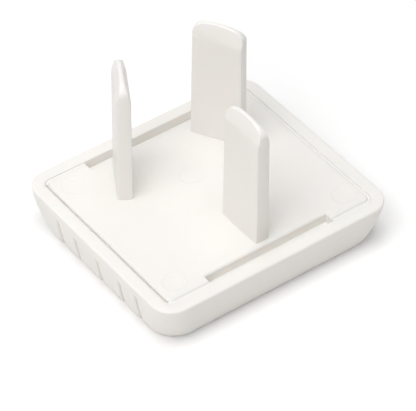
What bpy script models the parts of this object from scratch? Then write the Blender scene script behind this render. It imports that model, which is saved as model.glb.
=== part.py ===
# Outlet safety cover with three flat blades, lying on its front face.
# Two moulded pieces: a shell (front face, ribbed side walls and rim) and a
# pin plate that fills the back of the shell and carries the three blades.
# Blender metres, +Z up. The front face lies on z = 0 and the blades point up.
# The single earth blade is on the -Y side, the finger grips are on -X and +X.
import math

import bmesh
import bpy

MM = 0.001

# Blades, laid out on the standard three-flat-pin pattern
BLADE_WIDTH = 6.50 * MM
BLADE_THICKNESS = 1.80 * MM
BLADE_LENGTH = 16.5 * MM
BLADE_EDGE_ROUND = 0.25 * MM
BLADE_WIDTH_DRAFT = 0.15 * MM
BLADE_THICKNESS_DRAFT = 0.05 * MM
LINE_PIN_RADIUS = 7.92 * MM
EARTH_PIN_RADIUS = 10.31 * MM
LINE_PIN_TURN = math.radians(30.0)

# Blade tips: a round nose across the width, and both wide faces sloped in to a
# thin end from a straight line just below the nose
TIP_NOSE_HEIGHT = 1.5 * MM
TIP_NOSE_POWER = 2.3
TIP_THICKNESS = 0.50 * MM
TIP_SHOULDER = 0.8 * MM
TIP_CROWN = 0.10 * MM
TIP_POINTS_ACROSS = 14
TIP_RING_SHARES = (0.0, 0.25, 0.6, 1.0)

# The blades stand midway between the long edges: the earth blade's outer end is
# as far from the cover's middle as the row of the two line blades
PATTERN_MIDDLE = (EARTH_PIN_RADIUS - LINE_PIN_RADIUS * math.sin(LINE_PIN_TURN)) / 2.0
BLADE_REACH = EARTH_PIN_RADIUS - PATTERN_MIDDLE + BLADE_WIDTH / 2.0

# Slots sunk into the two long edges of the pin plate, just outside the blades
BLADE_TO_SLOT = 0.615 * MM
SLOT_LENGTH = 17.2 * MM
SLOT_WIDTH = 1.40 * MM
SLOT_DEPTH = 1.3 * MM
PLATE_EDGE_BREAK = 0.15 * MM

# Outline of the shell at its rim: across Y it follows the blades and the slots
RIM_WIDTH = 1.65 * MM
RIM_LENGTH_X = 32.3 * MM
RIM_LENGTH_Y = 2.0 * (BLADE_REACH + BLADE_TO_SLOT + SLOT_WIDTH + RIM_WIDTH)
RIM_CORNER_RADIUS = 2.7 * MM
RIM_OUTER_ROUND = 0.25 * MM
RIM_INNER_ROUND = 0.18 * MM
COVER_THICKNESS = 5.8 * MM

# Side walls: they leave the rim upright and lean in more and more toward the
# front face, so fingers can get behind the rim
WALL_LEAN_X = 1.10 * MM
WALL_LEAN_Y = 1.30 * MM
WALL_LEAN_POWER = 1.7
WALL_STEPS = 14
FRONT_EDGE_ROUND = 0.50 * MM
FRONT_CORNER_RADIUS = 3.5 * MM

# Finger grips on the two shorter walls: low crowned ribs parted by narrow
# grooves, which start with a small step below the rim and deepen all the way
# down to the front face
GRIP_MIDDLE_Y = -0.4 * MM
GRIP_RIB_WIDTH = 4.3 * MM
GRIP_END_RIB_WIDTH = 3.3 * MM
GRIP_END_FLANK = 1.2 * MM
RIB_CROWN = 0.12 * MM
GROOVE_WIDTH = 0.95 * MM
GROOVE_DEPTH = 0.75 * MM
GROOVE_START = 1.15 * MM
GROOVE_MIDDLE_DROP = 0.25 * MM
GROOVE_RUN_IN = 0.30 * MM
GROOVE_TOP_SHARE = 0.45
GROOVE_POINTS = (0.2, 0.5, 1.0)
RIB_POINTS = (0.35, 0.5, 0.65)

# Pocket and ledge inside the shell
SEAM_GAP = 0.30 * MM
PLATE_THICKNESS = 2.0 * MM
LEDGE_WIDTH = 1.0 * MM
FRONT_WALL_THICKNESS = 1.5 * MM

CORNER_STEPS = 8
ROUND_STEPS = 3

PLASTIC_COLOUR = (0.88, 0.86, 0.82, 1.0)
PLASTIC_ROUGHNESS = 0.36


def start_empty():
    for old in list(bpy.data.objects):
        bpy.data.objects.remove(old, do_unlink=True)


def plastic(name):
    mat = bpy.data.materials.new(name)
    mat.use_nodes = True
    shader = mat.node_tree.nodes["Principled BSDF"]
    shader.inputs["Base Color"].default_value = PLASTIC_COLOUR
    shader.inputs["Roughness"].default_value = PLASTIC_ROUGHNESS
    shader.inputs["Metallic"].default_value = 0.0
    return mat


def finish(name, bm, smooth_angle=math.radians(32.0)):
    bmesh.ops.recalc_face_normals(bm, faces=bm.faces[:])
    mesh = bpy.data.meshes.new(name)
    bm.to_mesh(mesh)
    bm.free()
    for poly in mesh.polygons:
        poly.use_smooth = True
    mesh.set_sharp_from_angle(angle=smooth_angle)
    obj = bpy.data.objects.new(name, mesh)
    bpy.context.scene.collection.objects.link(obj)
    mesh.materials.append(plastic(name + "_plastic"))
    return obj


# Grooves that find room on the straight part of the wall, from -Y to +Y
def groove_places():
    straight = RIM_LENGTH_Y / 2.0 - WALL_LEAN_Y - FRONT_CORNER_RADIUS - GRIP_END_FLANK
    last = GRIP_RIB_WIDTH + GRIP_END_RIB_WIDTH
    steps = (-last, -GRIP_RIB_WIDTH, 0.0, GRIP_RIB_WIDTH, last)
    return [GRIP_MIDDLE_Y + step for step in steps if abs(GRIP_MIDDLE_Y + step) <= straight]


def grip_stations():
    places = groove_places()
    half_mouth = GROOVE_WIDTH / 2.0
    stations = [places[0] - GRIP_END_FLANK]
    for index, place in enumerate(places):
        stations += [place - half_mouth * share for share in reversed(GROOVE_POINTS)]
        stations.append(place)
        stations += [place + half_mouth * share for share in GROOVE_POINTS]
        if index + 1 < len(places):
            rib = places[index + 1] - place
            stations += [place + rib * share for share in RIB_POINTS]
    stations.append(places[-1] + GRIP_END_FLANK)
    return stations


# How far the grip lies behind the plain wall at y, where it is cut to full depth
def full_cut(y):
    places = groove_places()
    distance = min(abs(y - place) for place in places)
    groove = max(0.0, 1.0 - distance / (GROOVE_WIDTH / 2.0)) ** 2
    below = [place for place in places if place <= y]
    above = [place for place in places if place >= y]
    if not below or not above:
        rib_edge = max(0.0, 1.0 - distance / GRIP_END_FLANK)
    elif below[-1] == above[0]:
        rib_edge = 1.0
    else:
        rib_edge = 1.0 - 2.0 * distance / (above[0] - below[-1])
    return GROOVE_DEPTH * groove + RIB_CROWN * rib_edge ** 2


# Share of the full cut at a height: the middle groove starts lower than the others
def cut_share(y, below_rim):
    reach = GRIP_RIB_WIDTH + GRIP_END_RIB_WIDTH
    from_middle = (y - GRIP_MIDDLE_Y) / reach
    start = GROOVE_START + GROOVE_MIDDLE_DROP * max(0.0, 1.0 - from_middle ** 2)
    run_in = (below_rim - start) / GROOVE_RUN_IN
    way_down = (below_rim - start) / (COVER_THICKNESS - start)
    deepening = GROOVE_TOP_SHARE + (1.0 - GROOVE_TOP_SHARE) * way_down
    return max(0.0, min(1.0, run_in)) * deepening


# Plan outline shared by every level of the shell; the grips are cut at wall levels
def plan_ring(half_x, half_y, radius, z, below_rim=0.0):
    stations = grip_stations()
    walls = [half_x - full_cut(y) * cut_share(y, below_rim) for y in stations]
    ring = [(x, y, z) for x, y in zip(walls, stations)]
    corners = (
        (half_x - radius, half_y - radius, 0.0),
        (radius - half_x, half_y - radius, 90.0),
        (radius - half_x, radius - half_y, 180.0),
        (half_x - radius, radius - half_y, 270.0),
    )
    for index, (cx, cy, start) in enumerate(corners):
        for step in range(CORNER_STEPS + 1):
            turn = math.radians(start + 90.0 * step / CORNER_STEPS)
            ring.append((cx + radius * math.cos(turn), cy + radius * math.sin(turn), z))
        if index == 1:
            ring += [(-x, y, z) for x, y in zip(reversed(walls), reversed(stations))]
    return ring


def wall_ring(below_rim, extra_inset):
    share = below_rim / COVER_THICKNESS
    lean = share ** WALL_LEAN_POWER
    half_x = RIM_LENGTH_X / 2.0 - WALL_LEAN_X * lean - extra_inset
    half_y = RIM_LENGTH_Y / 2.0 - WALL_LEAN_Y * lean - extra_inset
    radius = RIM_CORNER_RADIUS + (FRONT_CORNER_RADIUS - RIM_CORNER_RADIUS) * share - extra_inset
    return plan_ring(half_x, half_y, radius, COVER_THICKNESS - below_rim, below_rim)


def shell_rings():
    rings = []
    # inside of the pocket, from the front wall up to the rim
    pocket_x = RIM_LENGTH_X / 2.0 - RIM_WIDTH
    pocket_y = RIM_LENGTH_Y / 2.0 - RIM_WIDTH
    pocket_radius = RIM_CORNER_RADIUS - RIM_WIDTH
    ledge_z = COVER_THICKNESS - PLATE_THICKNESS - SEAM_GAP
    cavity_x = pocket_x - LEDGE_WIDTH
    cavity_y = pocket_y - LEDGE_WIDTH
    rings.append(plan_ring(cavity_x, cavity_y, pocket_radius, FRONT_WALL_THICKNESS))
    rings.append(plan_ring(cavity_x, cavity_y, pocket_radius, ledge_z))
    rings.append(plan_ring(pocket_x, pocket_y, pocket_radius, ledge_z))
    for step in range(ROUND_STEPS):
        turn = math.radians(90.0 * step / (ROUND_STEPS - 1))
        out = RIM_INNER_ROUND * (1.0 - math.cos(turn))
        drop = RIM_INNER_ROUND * (1.0 - math.sin(turn))
        rings.append(plan_ring(pocket_x + out, pocket_y + out, pocket_radius + out, COVER_THICKNESS - drop))
    # rounded outer edge of the rim
    for step in range(ROUND_STEPS + 1):
        turn = math.radians(90.0 * step / ROUND_STEPS)
        inset = RIM_OUTER_ROUND * (1.0 - math.sin(turn))
        rings.append(wall_ring(RIM_OUTER_ROUND * (1.0 - math.cos(turn)), inset))
    # leaning wall
    wall_end = COVER_THICKNESS - FRONT_EDGE_ROUND
    for step in range(1, WALL_STEPS + 1):
        below = RIM_OUTER_ROUND + (wall_end - RIM_OUTER_ROUND) * step / WALL_STEPS
        rings.append(wall_ring(below, 0.0))
    # rounded edge into the front face
    for step in range(1, ROUND_STEPS + 2):
        turn = math.radians(90.0 * step / (ROUND_STEPS + 1))
        inset = FRONT_EDGE_ROUND * (1.0 - math.cos(turn))
        rings.append(wall_ring(wall_end + FRONT_EDGE_ROUND * math.sin(turn), inset))
    return rings


def skin(bm, rings):
    loops = [[bm.verts.new(point) for point in ring] for ring in rings]
    for low, high in zip(loops[:-1], loops[1:]):
        count = len(low)
        for i in range(count):
            j = (i + 1) % count
            bm.faces.new((low[i], low[j], high[j], high[i]))
    return loops


def build_shell():
    bm = bmesh.new()
    loops = skin(bm, shell_rings())
    bm.faces.new(loops[0])
    bm.faces.new(loops[-1])
    return finish("shell", bm)


# Pin plate outline where the two slots notch it; a notch is four points long
def plate_outline():
    half_x = RIM_LENGTH_X / 2.0 - RIM_WIDTH - SEAM_GAP
    half_y = RIM_LENGTH_Y / 2.0 - RIM_WIDTH - SEAM_GAP
    radius = RIM_CORNER_RADIUS - RIM_WIDTH - SEAM_GAP
    notch_x = SLOT_LENGTH / 2.0
    notch_y = RIM_LENGTH_Y / 2.0 - RIM_WIDTH - SLOT_WIDTH
    outline = []
    notch_starts = []
    corners = (
        (half_x - radius, half_y - radius, 0.0),
        (radius - half_x, half_y - radius, 90.0),
        (radius - half_x, radius - half_y, 180.0),
        (half_x - radius, radius - half_y, 270.0),
    )
    for index, (cx, cy, start) in enumerate(corners):
        for step in range(CORNER_STEPS + 1):
            turn = math.radians(start + 90.0 * step / CORNER_STEPS)
            outline.append((cx + radius * math.cos(turn), cy + radius * math.sin(turn)))
        side = 1.0 if index == 0 else -1.0
        if index in (0, 2):
            notch_starts.append(len(outline))
            outline.append((side * notch_x, side * half_y))
            outline.append((side * notch_x, side * notch_y))
            outline.append((-side * notch_x, side * notch_y))
            outline.append((-side * notch_x, side * half_y))
    return outline, notch_starts


def inset_outline(outline, amount):
    moved = []
    count = len(outline)
    for i, (x, y) in enumerate(outline):
        px, py = outline[i - 1]
        nx, ny = outline[(i + 1) % count]
        ax, ay = x - px, y - py
        bx, by = nx - x, ny - y
        la = math.hypot(ax, ay)
        lb = math.hypot(bx, by)
        ax, ay, bx, by = ax / la, ay / la, bx / lb, by / lb
        share = amount / (1.0 + ax * bx + ay * by)
        moved.append((x - (ay + by) * share, y + (ax + bx) * share))
    return moved


# One blade as a stack of rings, bottom ring first, in plate coordinates
def blade_layout():
    line_x = LINE_PIN_RADIUS * math.cos(LINE_PIN_TURN)
    line_y = LINE_PIN_RADIUS * math.sin(LINE_PIN_TURN) + PATTERN_MIDDLE
    return (
        (line_x, line_y, LINE_PIN_TURN),
        (-line_x, line_y, -LINE_PIN_TURN),
        (0.0, PATTERN_MIDDLE - EARTH_PIN_RADIUS, 0.0),
    )


def nose_drop(share):
    inside = max(0.0, 1.0 - abs(share) ** TIP_NOSE_POWER)
    return TIP_NOSE_HEIGHT * (1.0 - inside ** (1.0 / TIP_NOSE_POWER))


def blade_half_thickness(share, half_width, height):
    flat = BLADE_THICKNESS / 2.0 - BLADE_THICKNESS_DRAFT * height / BLADE_LENGTH
    into_round = abs(share) * half_width - (half_width - BLADE_EDGE_ROUND)
    half = flat
    if into_round > 0.0:
        reach = max(0.0, BLADE_EDGE_ROUND ** 2 - into_round ** 2)
        half = flat - BLADE_EDGE_ROUND + math.sqrt(reach)
    slope_height = TIP_NOSE_HEIGHT + TIP_SHOULDER
    share_up = (height - BLADE_LENGTH + slope_height) / slope_height
    if share_up > 0.0:
        half = min(half, flat + (TIP_THICKNESS / 2.0 - flat) * share_up)
    return half


def blade_point(place, share, side, height, lift):
    cx, cy, turn = place
    half_width = BLADE_WIDTH / 2.0 - BLADE_WIDTH_DRAFT * height / BLADE_LENGTH
    along = share * half_width
    across = side * blade_half_thickness(share, half_width, height)
    x = cx + across * math.cos(turn) - along * math.sin(turn)
    y = cy + across * math.sin(turn) + along * math.cos(turn)
    return (x, y, COVER_THICKNESS + height + lift)


def add_blade(bm, place):
    shares = [math.sin(math.pi * (i / TIP_POINTS_ACROSS - 0.5)) for i in range(TIP_POINTS_ACROSS + 1)]
    shoulder = BLADE_LENGTH - TIP_NOSE_HEIGHT - TIP_SHOULDER
    outline = [(share, 1.0) for share in shares] + [(share, -1.0) for share in reversed(shares)]
    rings = [[blade_point(place, share, side, 0.0, 0.0) for share, side in outline]]
    for part in TIP_RING_SHARES:
        ring = []
        for share, side in outline:
            top = BLADE_LENGTH - nose_drop(share)
            height = shoulder + (top - shoulder) * part
            ring.append(blade_point(place, share, side, height, 0.0))
        rings.append(ring)
    loops = skin(bm, rings)
    # crowned cap over the nose
    last = loops[-1]
    count = len(shares)
    columns = []
    for i, share in enumerate(shares):
        top = BLADE_LENGTH - nose_drop(share)
        crown = [bm.verts.new(blade_point(place, share, side, top, TIP_CROWN)) for side in (0.45, -0.45)]
        columns.append([last[i], crown[0], crown[1], last[2 * count - 1 - i]])
    for left, right in zip(columns[:-1], columns[1:]):
        for k in range(3):
            bm.faces.new((left[k], right[k], right[k + 1], left[k + 1]))
    for ends in (columns[0], columns[-1]):
        bm.faces.new(ends)
    return loops[0]


def ring_edges(bm, loop):
    edges = []
    for a, b in zip(loop, loop[1:] + loop[:1]):
        edge = bm.edges.get((a, b))
        if edge is None:
            edge = bm.edges.new((a, b))
        edges.append(edge)
    return edges


def build_pin_plate():
    bm = bmesh.new()
    outline, notch_starts = plate_outline()
    top_z = COVER_THICKNESS
    top_outline = inset_outline(outline, PLATE_EDGE_BREAK)
    loops = skin(bm, (
        [(x, y, top_z - SLOT_DEPTH) for x, y in outline],
        [(x, y, top_z - PLATE_EDGE_BREAK) for x, y in outline],
        [(x, y, top_z) for x, y in top_outline],
    ))
    # floor of each slot, and the full slab below the two floors
    slot_level = loops[0]
    inner_corners = []
    for start in notch_starts:
        bm.faces.new(slot_level[start:start + 4])
        inner_corners += slot_level[start + 1:start + 3]
    slab_top = [vert for vert in slot_level if vert not in inner_corners]
    slab_bottom = [bm.verts.new((vert.co.x, vert.co.y, top_z - PLATE_THICKNESS)) for vert in slab_top]
    for i in range(len(slab_top)):
        bm.faces.new((slab_bottom[i - 1], slab_bottom[i], slab_top[i], slab_top[i - 1]))
    bm.faces.new(slab_bottom)
    edges = ring_edges(bm, loops[-1])
    for place in blade_layout():
        edges += ring_edges(bm, add_blade(bm, place))
    bmesh.ops.triangle_fill(bm, use_beauty=True, edges=edges)
    return finish("pin_plate", bm)


start_empty()
build_shell()
build_pin_plate()
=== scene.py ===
# %% [markdown]
# # An outlet safety cover in white plastic
# A child-safety cover for a wall outlet lies on its front face with its three
# flat blades up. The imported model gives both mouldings: a shell with ribbed
# finger grips, and a plate that fills its back and carries the blades. This
# lesson gives them their moulded surface, closes the joint between them, and
# lights them on a white table.

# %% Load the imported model
import math

import bmesh
import bpy
from mathutils import Matrix, Vector


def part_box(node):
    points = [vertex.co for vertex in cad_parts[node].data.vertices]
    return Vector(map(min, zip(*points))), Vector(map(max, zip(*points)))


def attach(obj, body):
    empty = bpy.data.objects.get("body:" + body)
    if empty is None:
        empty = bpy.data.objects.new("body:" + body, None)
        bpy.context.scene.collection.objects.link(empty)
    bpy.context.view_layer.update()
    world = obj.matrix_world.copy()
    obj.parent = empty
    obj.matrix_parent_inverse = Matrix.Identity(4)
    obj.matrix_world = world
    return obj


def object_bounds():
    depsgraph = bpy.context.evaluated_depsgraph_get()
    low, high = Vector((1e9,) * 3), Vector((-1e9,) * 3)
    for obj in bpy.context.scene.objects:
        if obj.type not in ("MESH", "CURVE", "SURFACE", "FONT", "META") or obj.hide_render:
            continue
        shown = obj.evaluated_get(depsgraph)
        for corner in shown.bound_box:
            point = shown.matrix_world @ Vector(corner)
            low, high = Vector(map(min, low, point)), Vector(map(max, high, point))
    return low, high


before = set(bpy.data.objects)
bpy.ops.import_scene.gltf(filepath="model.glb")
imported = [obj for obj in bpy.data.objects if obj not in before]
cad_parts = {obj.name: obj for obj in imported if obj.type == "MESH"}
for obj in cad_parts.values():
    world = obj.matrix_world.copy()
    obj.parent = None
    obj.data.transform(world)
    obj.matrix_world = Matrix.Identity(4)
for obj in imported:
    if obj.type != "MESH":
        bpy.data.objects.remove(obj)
cad_low, cad_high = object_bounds()
MM = 0.001

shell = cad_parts["shell"]
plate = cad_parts["pin_plate"]
print("box of the model, mm:", [round(v / MM, 2) for v in (*cad_low, *cad_high)])

# %% [markdown]
# ## Levels of the two mouldings
# What is placed later reads its place from the model's own boxes, so a change
# of size there moves the joint and the marks with it.

# %% Measure the mouldings
shell_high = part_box("shell")[1]
plate_low, plate_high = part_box("pin_plate")
rim_level = shell_high.z
print("rim level, mm:", round(rim_level / MM, 2))
print("plate, mm:", [round(v / MM, 2) for v in (*plate_low, *plate_high)])

# %% [markdown]
# ## Smooth shading on loose triangles
# The imported triangles do not share their corners, so they would shade flat.
# A Weld modifier joins them for display only, and an Edge Split keeps every
# edge sharper than 30 degrees crisp. A Weighted Normal modifier lets the wide
# flat faces shade flat, so the rounds and slopes beside them carry the whole
# bend. The mesh itself stays as it was packed.

# %% Smooth the mouldings
WELD_DISTANCE = 0.002 * MM
SHARP_EDGE = math.radians(30.0)
FLAT_FACE_WEIGHT = 50


def smooth_moulding(obj):
    for face in obj.data.polygons:
        face.use_smooth = True
    weld = obj.modifiers.new("join_corners", "WELD")
    weld.merge_threshold = WELD_DISTANCE
    split = obj.modifiers.new("keep_edges", "EDGE_SPLIT")
    split.use_edge_angle = True
    split.use_edge_sharp = False
    split.split_angle = SHARP_EDGE
    flats = obj.modifiers.new("keep_flats", "WEIGHTED_NORMAL")
    flats.mode = "FACE_AREA"
    flats.weight = FLAT_FACE_WEIGHT


for moulding in (shell, plate):
    smooth_moulding(moulding)
    print(moulding.name, "modifiers:", [modifier.name for modifier in moulding.modifiers])

# %% [markdown]
# ## The joint between the mouldings
# On the real cover the plate is pressed into the shell, and a thin lip on its
# edge closes the joint a little below the surface, so only a hairline shows.
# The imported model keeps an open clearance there. The lip is a strip of that
# clearance's width that runs round the plate. It lies deeper on the left,
# where the real joint is a darker line. It drops to the floor of the two slots
# where it passes them, because the slots reach out to the shell.

# %% Measure the joint
SEAM_GAP = 0.30 * MM
LIP_PLAY = 0.01 * MM
LIP_BELOW_RIM = 0.14 * MM
LIP_BELOW_RIM_LEFT = 0.56 * MM
LIP_HEIGHT = 0.30 * MM
PLATE_CORNER = 0.75 * MM
SLOT_LENGTH = 17.2 * MM
SLOT_DEPTH = 1.3 * MM
lip_half_x = plate_high.x + SEAM_GAP - LIP_PLAY
lip_half_y = plate_high.y + SEAM_GAP - LIP_PLAY
lip_level = rim_level - LIP_BELOW_RIM
lip_level_left = rim_level - LIP_BELOW_RIM_LEFT
slot_floor = rim_level - SLOT_DEPTH
print("lip reaches, mm:", round(lip_half_x / MM, 2), round(lip_half_y / MM, 2))

# %% [markdown]
# ## A ring from a flat rectangle
# The lip could be a curve with a profile, but its levels change along the way.
# A flat rectangle is an easier start: a vertex bevel rounds its corners, an
# inset leaves a narrow ring, and two cuts mark where the slots end.

# %% Lay out the ring
CORNER_SEGMENTS = 8
CUT_SNAP = 0.001 * MM


def flat_ring(bm, half_x, half_y, corner, width, level):
    outline = [bm.verts.new((x, y, level)) for x, y in (
        (-half_x, -half_y), (half_x, -half_y), (half_x, half_y), (-half_x, half_y))]
    bm.faces.new(outline)
    bmesh.ops.bevel(
        bm, geom=outline, affect="VERTICES", offset=corner, offset_type="OFFSET",
        segments=CORNER_SEGMENTS, profile=0.5, material=-1)
    inner = bm.faces[:]
    bmesh.ops.inset_region(
        bm, faces=inner, thickness=width, use_boundary=True, use_even_offset=True)
    bmesh.ops.delete(bm, geom=inner, context="FACES_ONLY")


def cut_across(bm, x):
    geom = bm.verts[:] + bm.edges[:] + bm.faces[:]
    bmesh.ops.bisect_plane(
        bm, geom=geom, dist=CUT_SNAP, plane_co=(x, 0.0, 0.0), plane_no=(1.0, 0.0, 0.0))


# %% [markdown]
# ## The lip, raised in steps
# Three extrusions give the lip its height: the whole ring up to the slots'
# floor, then all but the stretches beside the slots, then all but the left
# side too. An extrusion leaves the old faces inside, so they are deleted,
# apart from the first ones, which close the underside.

# %% Model the lip
FACING_UP = 0.9


def raise_faces(bm, faces, height, keep_under=False):
    raised = bmesh.ops.extrude_face_region(bm, geom=faces)["geom"]
    moved = [part for part in raised if isinstance(part, bmesh.types.BMVert)]
    bmesh.ops.translate(bm, verts=moved, vec=(0.0, 0.0, height))
    if not keep_under:
        bmesh.ops.delete(bm, geom=faces, context="FACES")
    bmesh.ops.recalc_face_normals(bm, faces=bm.faces[:])


def beside_slot(face):
    return abs(face.calc_center_median().x) < SLOT_LENGTH / 2.0


def on_left_side(face):
    return face.calc_center_median().x < SEAM_GAP - lip_half_x


def top_faces(bm, level, left_out):
    return [
        face for face in bm.faces
        if face.normal.z > FACING_UP
        and abs(face.calc_center_median().z - level) < LIP_PLAY
        and not left_out(face)]


def model_lip():
    bm = bmesh.new()
    flat_ring(
        bm, lip_half_x, lip_half_y, PLATE_CORNER + SEAM_GAP,
        SEAM_GAP - 2.0 * LIP_PLAY, slot_floor - LIP_HEIGHT)
    for side in (-1.0, 1.0):
        cut_across(bm, side * SLOT_LENGTH / 2.0)
    raise_faces(bm, bm.faces[:], LIP_HEIGHT, keep_under=True)
    raise_faces(bm, top_faces(bm, slot_floor, beside_slot), lip_level_left - slot_floor)
    raise_faces(bm, top_faces(bm, lip_level_left, on_left_side), lip_level - lip_level_left)
    print("lip edges left open:", sum(not edge.is_manifold for edge in bm.edges))
    mesh = bpy.data.meshes.new("joint_lip")
    bm.to_mesh(mesh)
    bm.free()
    obj = bpy.data.objects.new("joint_lip", mesh)
    bpy.context.scene.collection.objects.link(obj)
    return obj


lip = model_lip()
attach(lip, "root")
print("lip faces:", len(lip.data.polygons))
print("lip levels, mm:", sorted({round(vertex.co.z / MM, 2) for vertex in lip.data.vertices}))

# %% [markdown]
# ## Helpers for shader nodes
# The materials are built in code, and the same few steps come back in each:
# a new group with named sockets, a math node, a noise, a ramp, a colour mix.
# Each gets one short function. A value that is the same all over the surface
# is written on the socket, and only what changes is linked.


# %% Write the node helpers
def new_group(name, inputs, outputs):
    group = bpy.data.node_groups.new(name, "ShaderNodeTree")
    for label, kind, value in inputs:
        socket = group.interface.new_socket(label, in_out="INPUT", socket_type=kind)
        if value is not None:
            socket.default_value = value
    for label, kind in outputs:
        group.interface.new_socket(label, in_out="OUTPUT", socket_type=kind)
    start = group.nodes.new("NodeGroupInput")
    end = group.nodes.new("NodeGroupOutput")
    return group, start, end


def math_node(tree, operation, first, second=None, third=None):
    node = tree.nodes.new("ShaderNodeMath")
    node.operation = operation
    for place, value in enumerate((first, second, third)):
        if value is None:
            continue
        if isinstance(value, (int, float)):
            node.inputs[place].default_value = value
        else:
            tree.links.new(value, node.inputs[place])
    return node.outputs[0]


def noise_node(tree, vector, scale, detail):
    node = tree.nodes.new("ShaderNodeTexNoise")
    tree.links.new(vector, node.inputs["Vector"])
    tree.links.new(scale, node.inputs["Scale"])
    node.inputs["Detail"].default_value = detail
    return node.outputs["Fac"]


def ramp_node(tree, value, low, high):
    node = tree.nodes.new("ShaderNodeMapRange")
    tree.links.new(value, node.inputs["Value"])
    node.inputs["From Min"].default_value = low
    node.inputs["From Max"].default_value = high
    return node.outputs["Result"]


def mix_colors(tree, factor, first, second):
    mix = tree.nodes.new("ShaderNodeMix")
    mix.data_type = "RGBA"
    tree.links.new(factor, mix.inputs["Factor"])
    for label, color in (("A", first), ("B", second)):
        if isinstance(color, tuple):
            mix.inputs[label].default_value = color
        else:
            tree.links.new(color, mix.inputs[label])
    return mix.outputs["Result"]


def place_group(tree, group, vector, values):
    node = tree.nodes.new("ShaderNodeGroup")
    node.node_tree = group
    tree.links.new(vector, node.inputs["Vector"])
    for label, value in values.items():
        node.inputs[label].default_value = value
    return node


PURE_WHITE = (1.0, 1.0, 1.0, 1.0)

# %% [markdown]
# ## Moulded skin, as a shader group
# Injection-moulded plastic is never perfectly even. It has a faint grain from
# the tool's polish, a slow waviness where thick walls shrink, and slightly
# duller and glossier patches. Both mouldings and the lip use it, so it is one
# group with named inputs, and each material places it with its own values.

# %% Build the skin group
GRAIN_SCALE = 5200.0
GRAIN_SHARE = 0.16
ROUGHNESS_LOW = 0.34
ROUGHNESS_HIGH = 0.44
CLOUD_DETAIL = 2.0
GRAIN_DETAIL = 3.0


def build_skin_group():
    group, start, end = new_group(
        "moulded_skin",
        (
            ("Vector", "NodeSocketVector", None),
            ("Light Plastic", "NodeSocketColor", PURE_WHITE),
            ("Deep Plastic", "NodeSocketColor", PURE_WHITE),
            ("Cloud Scale", "NodeSocketFloat", 150.0),
            ("Grain Scale", "NodeSocketFloat", GRAIN_SCALE),
            ("Roughness Low", "NodeSocketFloat", ROUGHNESS_LOW),
            ("Roughness High", "NodeSocketFloat", ROUGHNESS_HIGH),
            ("Grain Share", "NodeSocketFloat", GRAIN_SHARE),
        ),
        (
            ("Color", "NodeSocketColor"),
            ("Roughness", "NodeSocketFloat"),
            ("Height", "NodeSocketFloat"),
        ),
    )
    given = start.outputs
    cloud = noise_node(group, given["Vector"], given["Cloud Scale"], CLOUD_DETAIL)
    grain = noise_node(group, given["Vector"], given["Grain Scale"], GRAIN_DETAIL)
    color = mix_colors(group, cloud, given["Deep Plastic"], given["Light Plastic"])
    group.links.new(color, end.inputs["Color"])
    span = math_node(group, "SUBTRACT", given["Roughness High"], given["Roughness Low"])
    rough = math_node(group, "MULTIPLY_ADD", cloud, span, given["Roughness Low"])
    group.links.new(rough, end.inputs["Roughness"])
    fine = math_node(group, "MULTIPLY", grain, given["Grain Share"])
    group.links.new(math_node(group, "ADD", cloud, fine), end.inputs["Height"])
    return group


skin_group = build_skin_group()
print("skin group nodes:", len(skin_group.nodes))

# %% [markdown]
# ## Ejector marks, as a shader group
# The pins that push the hot plate out of its tool leave faint round marks: a
# disc a few hundredths of a millimetre low with a thin raised lip. They are far
# too shallow to model, so a group turns the distance from a centre into a
# height: a smooth step for the disc and a bell curve for its lip. It works on
# Object coordinates, so a mark stays where it is put.

# %% Build the mark group
MARK_RADIUS = 1.35 * MM
MARK_LIP = 0.10 * MM


def build_mark_group():
    group, start, end = new_group(
        "ejector_mark",
        (
            ("Vector", "NodeSocketVector", None),
            ("Centre", "NodeSocketVector", (0.0, 0.0, 0.0)),
            ("Radius", "NodeSocketFloat", MARK_RADIUS),
            ("Lip", "NodeSocketFloat", MARK_LIP),
        ),
        (("Height", "NodeSocketFloat"),),
    )
    away = group.nodes.new("ShaderNodeVectorMath")
    away.operation = "DISTANCE"
    group.links.new(start.outputs["Vector"], away.inputs[0])
    group.links.new(start.outputs["Centre"], away.inputs[1])
    from_edge = math_node(group, "SUBTRACT", away.outputs["Value"], start.outputs["Radius"])
    lips_away = math_node(group, "DIVIDE", from_edge, start.outputs["Lip"])
    squared = math_node(group, "MULTIPLY", lips_away, lips_away)
    lip_curve = math_node(group, "POWER", math.e, math_node(group, "MULTIPLY", squared, -1.0))
    step = group.nodes.new("ShaderNodeMapRange")
    step.interpolation_type = "SMOOTHSTEP"
    group.links.new(lips_away, step.inputs["Value"])
    step.inputs["From Min"].default_value = -1.0
    step.inputs["From Max"].default_value = 1.0
    height = math_node(group, "ADD", step.outputs["Result"], lip_curve)
    group.links.new(height, end.inputs["Height"])
    return group


mark_group = build_mark_group()
print("mark group nodes:", len(mark_group.nodes))

# %% [markdown]
# ## Painted shade in the grip's grooves, as a shader group
# The grooves between the finger ribs are narrow, and the shade that falls in them
# is painted into the base colour, so they read as thin dark lines. The group takes how open the
# surface is, turns it round, and keeps the result to the two ribbed sides of the shell,
# below the rim, with Object coordinates.

# %% Build the groove group
GRIP_BAND = 3.045 * MM
SIDE_FADE = 0.4 * MM
RIM_FADE_FROM = 0.4 * MM
RIM_FADE_TO = 0.9 * MM
CLOSED_FROM = 0.08
CLOSED_TO = 0.45
grip_from = shell_high.x - GRIP_BAND


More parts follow.
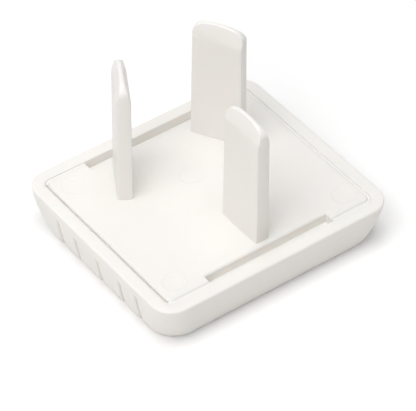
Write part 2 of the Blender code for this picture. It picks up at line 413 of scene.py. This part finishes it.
def build_painted_shade_group():
    group, start, end = new_group(
        "painted_groove_shade",
        (
            ("Vector", "NodeSocketVector", None),
            ("Openness", "NodeSocketFloat", 1.0),
            ("Side From", "NodeSocketFloat", grip_from),
            ("Rim Level", "NodeSocketFloat", rim_level),
        ),
        (("Mask", "NodeSocketFloat"),),
    )
    given = start.outputs
    parts = group.nodes.new("ShaderNodeSeparateXYZ")
    group.links.new(given["Vector"], parts.inputs["Vector"])
    from_middle = math_node(group, "ABSOLUTE", parts.outputs["X"])
    away = math_node(group, "SUBTRACT", from_middle, given["Side From"])
    below = math_node(group, "SUBTRACT", given["Rim Level"], parts.outputs["Z"])
    closed = math_node(group, "SUBTRACT", 1.0, given["Openness"])
    on_side = ramp_node(group, away, 0.0, SIDE_FADE)
    under_rim = ramp_node(group, below, RIM_FADE_FROM, RIM_FADE_TO)
    shaded = ramp_node(group, closed, CLOSED_FROM, CLOSED_TO)
    on_grip = math_node(group, "MULTIPLY", on_side, under_rim)
    group.links.new(math_node(group, "MULTIPLY", on_grip, shaded), end.inputs["Mask"])
    return group


painted_shade_group = build_painted_shade_group()
print("groove group nodes:", len(painted_shade_group.nodes))

# %% [markdown]
# ## The plastic
# The real cover is a warm white, satin rather than glossy. Its colour sits in
# the base colour, not in the light, and a little light passes under the skin,
# which softens thin edges such as the blades' tips. The lip is too thin for
# that and would turn grey, so no light passes under its skin. How open the
# surface is comes from an Ambient Occlusion node that looks at one piece only,
# and where the shell's grooves are closed in, shade is painted into the base colour.

# %% Write the plastic
LIGHT_PLASTIC = (0.925, 0.904, 0.870, 1.0)
DEEP_PLASTIC = (0.910, 0.885, 0.848, 1.0)
# Painted shade: the colour the grip's grooves are darkened to where they are closed in.
PAINTED_SHADE_COLOR = (0.700, 0.660, 0.585, 1.0)
PLASTIC_IOR = 1.5
LIGHT_INSIDE = 0.42
LIGHT_REACH = 1.0 * MM
LIGHT_REACH_SHARES = (1.0, 0.85, 0.78)
SKIN_DEPTH = 0.012 * MM
MARK_SHARE = 2.3
PAINTED_SHADE_REACH = 0.9 * MM


# Paints shade into the base colour where the grip's grooves are closed in.
def paint_shade_in_grooves(tree, coords, color):
    openness = tree.nodes.new("ShaderNodeAmbientOcclusion")
    openness.only_local = True
    openness.inputs["Distance"].default_value = PAINTED_SHADE_REACH
    shade = place_group(tree, painted_shade_group, coords, {"Side From": grip_from, "Rim Level": rim_level})
    tree.links.new(openness.outputs["AO"], shade.inputs["Openness"])
    return mix_colors(tree, shade.outputs["Mask"], color, PAINTED_SHADE_COLOR)


def add_marks(tree, coords, height, centres):
    for centre in centres:
        mark = place_group(tree, mark_group, coords, {
            "Centre": centre, "Radius": MARK_RADIUS, "Lip": MARK_LIP})
        height = math_node(tree, "MULTIPLY_ADD", mark.outputs["Height"], MARK_SHARE, height)
    return height


def white_plastic(name, cloud_scale, light_inside, marks=(), with_painted_shade=False):
    material = bpy.data.materials.new(name)
    material.use_nodes = True
    tree = material.node_tree
    shader = tree.nodes["Principled BSDF"]
    shader.inputs["IOR"].default_value = PLASTIC_IOR
    shader.inputs["Subsurface Weight"].default_value = light_inside
    shader.inputs["Subsurface Radius"].default_value = LIGHT_REACH_SHARES
    shader.inputs["Subsurface Scale"].default_value = LIGHT_REACH
    coords = tree.nodes.new("ShaderNodeTexCoord").outputs["Object"]
    skin = place_group(tree, skin_group, coords, {
        "Light Plastic": LIGHT_PLASTIC,
        "Deep Plastic": DEEP_PLASTIC,
        "Cloud Scale": cloud_scale,
        "Grain Scale": GRAIN_SCALE,
        "Roughness Low": ROUGHNESS_LOW,
        "Roughness High": ROUGHNESS_HIGH,
        "Grain Share": GRAIN_SHARE,
    })
    color = skin.outputs["Color"]
    if with_painted_shade:
        # Painted shade in the shell's grip grooves.
        color = paint_shade_in_grooves(tree, coords, color)
    tree.links.new(color, shader.inputs["Base Color"])
    tree.links.new(skin.outputs["Roughness"], shader.inputs["Roughness"])
    bump = tree.nodes.new("ShaderNodeBump")
    bump.inputs["Strength"].default_value = 1.0
    bump.inputs["Distance"].default_value = SKIN_DEPTH
    height = add_marks(tree, coords, skin.outputs["Height"], marks)
    tree.links.new(height, bump.inputs["Height"])
    tree.links.new(bump.outputs["Normal"], shader.inputs["Normal"])
    return material


# %% [markdown]
# ## One plastic for each piece
# The three pieces share the recipe but not the pattern: each has its own cloud
# size, so the waviness doesn't run on across the joint. The plate gets five
# ejector marks, one near each corner and one between the line blades.

# %% Give each piece its plastic
MARK_IN_X = 2.2 * MM
MARK_IN_Y = 2.3 * MM
MIDDLE_MARK_Y = 3.2 * MM
mark_x = plate_high.x - MARK_IN_X
mark_y = plate_high.y - MARK_IN_Y
mark_centres = [(x, y, rim_level) for x in (-mark_x, mark_x) for y in (-mark_y, mark_y)]
mark_centres.append((0.0, MIDDLE_MARK_Y, rim_level))

shell_plastic = white_plastic("shell_white_plastic", 150.0, LIGHT_INSIDE, with_painted_shade=True)
plate_plastic = white_plastic("plate_white_plastic", 190.0, LIGHT_INSIDE, mark_centres)
lip_plastic = white_plastic("lip_white_plastic", 170.0, 0.0)
for obj, plastic in ((shell, shell_plastic), (plate, plate_plastic), (lip, lip_plastic)):
    obj.data.materials.clear()
    obj.data.materials.append(plastic)
print("ejector marks, mm:", [(round(x / MM, 1), round(y / MM, 1)) for x, y, z in mark_centres])

# %% [markdown]
# ## The table
# The cover lies on a white table that keeps its soft shadow. Rays from the
# camera, also by way of a gloss, see pure white with a faint glow that grows
# far from the part, so the background is white from every side. All other rays
# see a plain, slightly warm white without the glow, so the part is not lit by
# more than a real table would give.

# %% Make the table
TABLE_RADIUS = 3.0
TABLE_SEGMENTS = 96
TABLE_WHITE = (0.88, 0.865, 0.85, 1.0)
TABLE_ROUGHNESS = 0.9
NEAR_GLOW = 0.07
FAR_GLOW = 0.62
GLOW_FROM = 0.12
GLOW_TO = 0.50


def seen_directly(tree):
    path = tree.nodes.new("ShaderNodeLightPath")
    camera_or_glossy = math_node(
        tree, "MAXIMUM", path.outputs["Is Camera Ray"], path.outputs["Is Glossy Ray"])
    return math_node(tree, "MAXIMUM", camera_or_glossy, path.outputs["Is Transmission Ray"])


def table_top():
    bm = bmesh.new()
    bmesh.ops.create_circle(
        bm, cap_ends=True, cap_tris=False, segments=TABLE_SEGMENTS, radius=TABLE_RADIUS)
    mesh = bpy.data.meshes.new("table_top")
    bm.to_mesh(mesh)
    bm.free()
    obj = bpy.data.objects.new("table_top", mesh)
    bpy.context.scene.collection.objects.link(obj)
    return obj


def table_finish():
    material = bpy.data.materials.new("table_white")
    material.use_nodes = True
    tree = material.node_tree
    shader = tree.nodes["Principled BSDF"]
    shader.inputs["Roughness"].default_value = TABLE_ROUGHNESS
    shader.inputs["Specular IOR Level"].default_value = 0.0
    seen = seen_directly(tree)
    color = mix_colors(tree, seen, TABLE_WHITE, PURE_WHITE)
    tree.links.new(color, shader.inputs["Base Color"])
    from_part = tree.nodes.new("ShaderNodeVectorMath")
    from_part.operation = "LENGTH"
    coords = tree.nodes.new("ShaderNodeTexCoord").outputs["Object"]
    tree.links.new(coords, from_part.inputs[0])
    far = ramp_node(tree, from_part.outputs["Value"], GLOW_FROM, GLOW_TO)
    glow = math_node(tree, "MULTIPLY_ADD", far, FAR_GLOW, NEAR_GLOW)
    shader.inputs["Emission Strength"].default_value = 1.0
    tree.links.new(math_node(tree, "MULTIPLY", glow, seen), shader.inputs["Emission Color"])
    return material


table = table_top()
table.data.materials.append(table_finish())
print("table radius, m:", TABLE_RADIUS)

# %% [markdown]
# ## Lamps
# A soft lamp straight above leads, with one high on the left. Weaker ones at the
# left front and behind keep the shaded sides open. Lamps are placed by the
# direction they come from and aimed at the middle of the part, so a row says
# its name, azimuth, elevation and watts.

# %% Hang the lamps
LAMP_DISTANCE = 0.60
LAMP_SIZE = 0.35
LAMPS = (
    ("left_lamp", -90.0, 60.0, 1.02),
    ("overhead_lamp", 0.0, 88.0, 1.34),
    ("back_lamp", 180.0, 30.0, 0.20),
    ("left_front_lamp", -55.0, 40.0, 0.60),
)
middle = (cad_low + cad_high) / 2.0


def soft_lamp(name, azimuth, elevation, watts):
    light = bpy.data.lights.new(name, "AREA")
    light.shape = "DISK"
    light.size = LAMP_SIZE
    light.energy = watts
    lamp = bpy.data.objects.new(name, light)
    bpy.context.scene.collection.objects.link(lamp)
    a = math.radians(azimuth)
    e = math.radians(elevation)
    back = Vector((math.sin(a) * math.cos(e), -math.cos(a) * math.cos(e), math.sin(e)))
    lamp.location = middle + back * LAMP_DISTANCE
    lamp.rotation_mode = "QUATERNION"
    lamp.rotation_quaternion = (-back).to_track_quat("-Z", "Y")


for lamp_row in LAMPS:
    soft_lamp(*lamp_row)
print("lamps:", len(LAMPS))

# %% [markdown]
# ## Room
# A dim white room fills what the lamps leave dark. As with the table, rays from
# the camera see it as pure white, and only the dim white lights the part.

# %% Light the room
ROOM_LIGHT = 0.295

world = bpy.data.worlds.new("white_room")
bpy.context.scene.world = world
world.use_nodes = True
room = world.node_tree
room_strength = room.nodes.new("ShaderNodeMix")
room_strength.data_type = "FLOAT"
room.links.new(seen_directly(room), room_strength.inputs["Factor"])
room_strength.inputs["A"].default_value = ROOM_LIGHT
room_strength.inputs["B"].default_value = 1.0
room.nodes["Background"].inputs["Color"].default_value = PURE_WHITE
room.links.new(room_strength.outputs["Result"], room.nodes["Background"].inputs["Strength"])
print("room light:", ROOM_LIGHT)

# %% [markdown]
# ## Camera
# The camera looks down at the cover's corner from the side of the ribbed grip
# and the earth blade. A long lens from a third of a metre keeps the
# perspective as flat as it is in a small product picture.

# %% Place the camera
CAMERA_PLACE = Vector((-0.148393, -0.197677, 0.233724))
CAMERA_RIGHT = Vector((0.8026358, -0.5964443, 0.0054667))
CAMERA_UP = Vector((0.4033251, 0.5494616, 0.7317246))
LENS_LENGTH = 253.80
SENSOR_WIDTH = 36.0
CLIP_START = 0.01
CLIP_END = 20.0

lens = bpy.data.cameras.new("camera")
lens.sensor_width = SENSOR_WIDTH
lens.lens = LENS_LENGTH
lens.clip_start = CLIP_START
lens.clip_end = CLIP_END
camera = bpy.data.objects.new("camera", lens)
bpy.context.scene.collection.objects.link(camera)
turn = Matrix((CAMERA_RIGHT, CAMERA_UP, CAMERA_RIGHT.cross(CAMERA_UP))).transposed()
camera.location = CAMERA_PLACE
camera.rotation_mode = "QUATERNION"
camera.rotation_quaternion = turn.to_quaternion()
bpy.context.scene.camera = camera
print("camera to part, m:", round((CAMERA_PLACE - middle).length, 3))

# %% [markdown]
# ## Finish
# Colours are shown as they are written.

# %% Show the colours as written
bpy.context.scene.view_settings.view_transform = "Standard"
